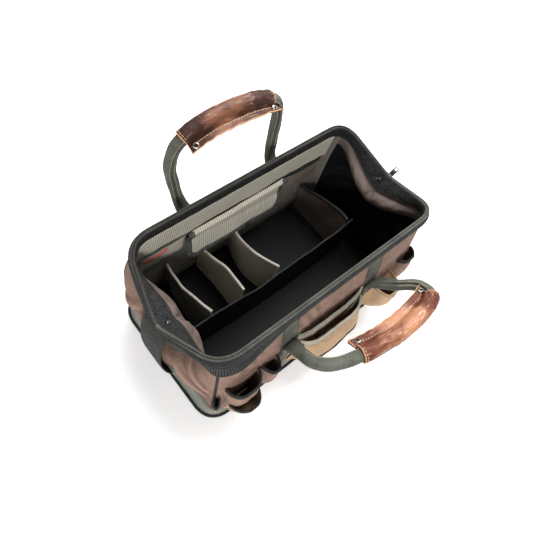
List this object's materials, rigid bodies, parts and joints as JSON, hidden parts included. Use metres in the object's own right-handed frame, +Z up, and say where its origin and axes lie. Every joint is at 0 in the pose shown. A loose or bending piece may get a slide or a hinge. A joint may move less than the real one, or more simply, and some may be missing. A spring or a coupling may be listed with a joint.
{
  "type": "tool bag",
  "caption": "Open soft tool bag on a stiff base, with a hinged mouth frame, pockets inside and out, cloth dividers and webbing handles with leather grips.",
  "frame": {"origin": "middle of the underside of the base, on the surface that the bag stands on", "axes": "+X along the bag to its right end as seen from the front, -Y to the front with the tan pockets, +Z up"},
  "size_m": [0.6076, 0.4749, 0.4078],
  "materials": {
    "brown_canvas": "woven brown canvas",
    "tan_canvas": "woven tan canvas",
    "ribbed_lining": "grey cloth with fine upright ribs",
    "taupe_lining": "smooth taupe lining",
    "black_lining": "black lining",
    "black_trim": "black mesh and binding",
    "zip_tape": "coil zip on black tape",
    "grey_webbing": "grey webbing",
    "handle_webbing": "dark grey rolled webbing",
    "black_base": "stiff black base board",
    "grip_leather": "oiled brown leather with worn highlights",
    "snap_metal": "dark nickel snap",
    "steel": "bright nickel",
    "red_strip": "bare red woven strip"
  },
  "bodies": {
    "root": {"front_wall": "brown_canvas", "right_end": "brown_canvas", "back_wall": "brown_canvas", "left_end": "brown_canvas", "base_panel": "black_base", "base_band": "grey_webbing", "base_piping": "black_trim", "rim_front": "black_trim", "rim_back": "black_trim", "zip_front": "zip_tape", "zip_back": "zip_tape", "zip_slider": "steel", "zip_pull": "steel", "hinge_rivet_left": "steel", "hinge_rivet_right": "steel", "end_strap_left": "grey_webbing", "end_strap_right": "grey_webbing", "front_pocket_centre": "brown_canvas", "front_pocket_face": "tan_canvas", "front_pocket_right": "tan_canvas", "front_pocket_end": "brown_canvas", "front_pocket_knob": "brown_canvas", "front_pocket_left": "brown_canvas", "front_corner_loop": "brown_canvas", "front_pocket_loop": "tan_canvas", "back_pocket_right": "brown_canvas", "back_pocket_middle": "brown_canvas", "back_pocket_left": "brown_canvas", "inner_panel": "ribbed_lining", "inner_flap": "ribbed_lining", "inner_pocket_left": "ribbed_lining", "inner_pocket_right": "taupe_lining", "pocket_tab": "red_strip", "divider_lengthwise": "black_lining", "divider_1": "taupe_lining", "divider_2": "taupe_lining", "divider_3": "taupe_lining", "divider_4": "taupe_lining", "handle_front": "handle_webbing", "handle_back": "handle_webbing", "grip_front": "grip_leather", "grip_back": "grip_leather", "snap_front_left": "snap_metal", "snap_front_right": "snap_metal", "snap_back_left": "snap_metal", "snap_back_right": "snap_metal", "handle_anchor_front_left": "handle_webbing", "handle_anchor_front_right": "handle_webbing", "handle_anchor_back_left": "handle_webbing", "handle_anchor_back_right": "handle_webbing"}
  },
  "joints": []
}
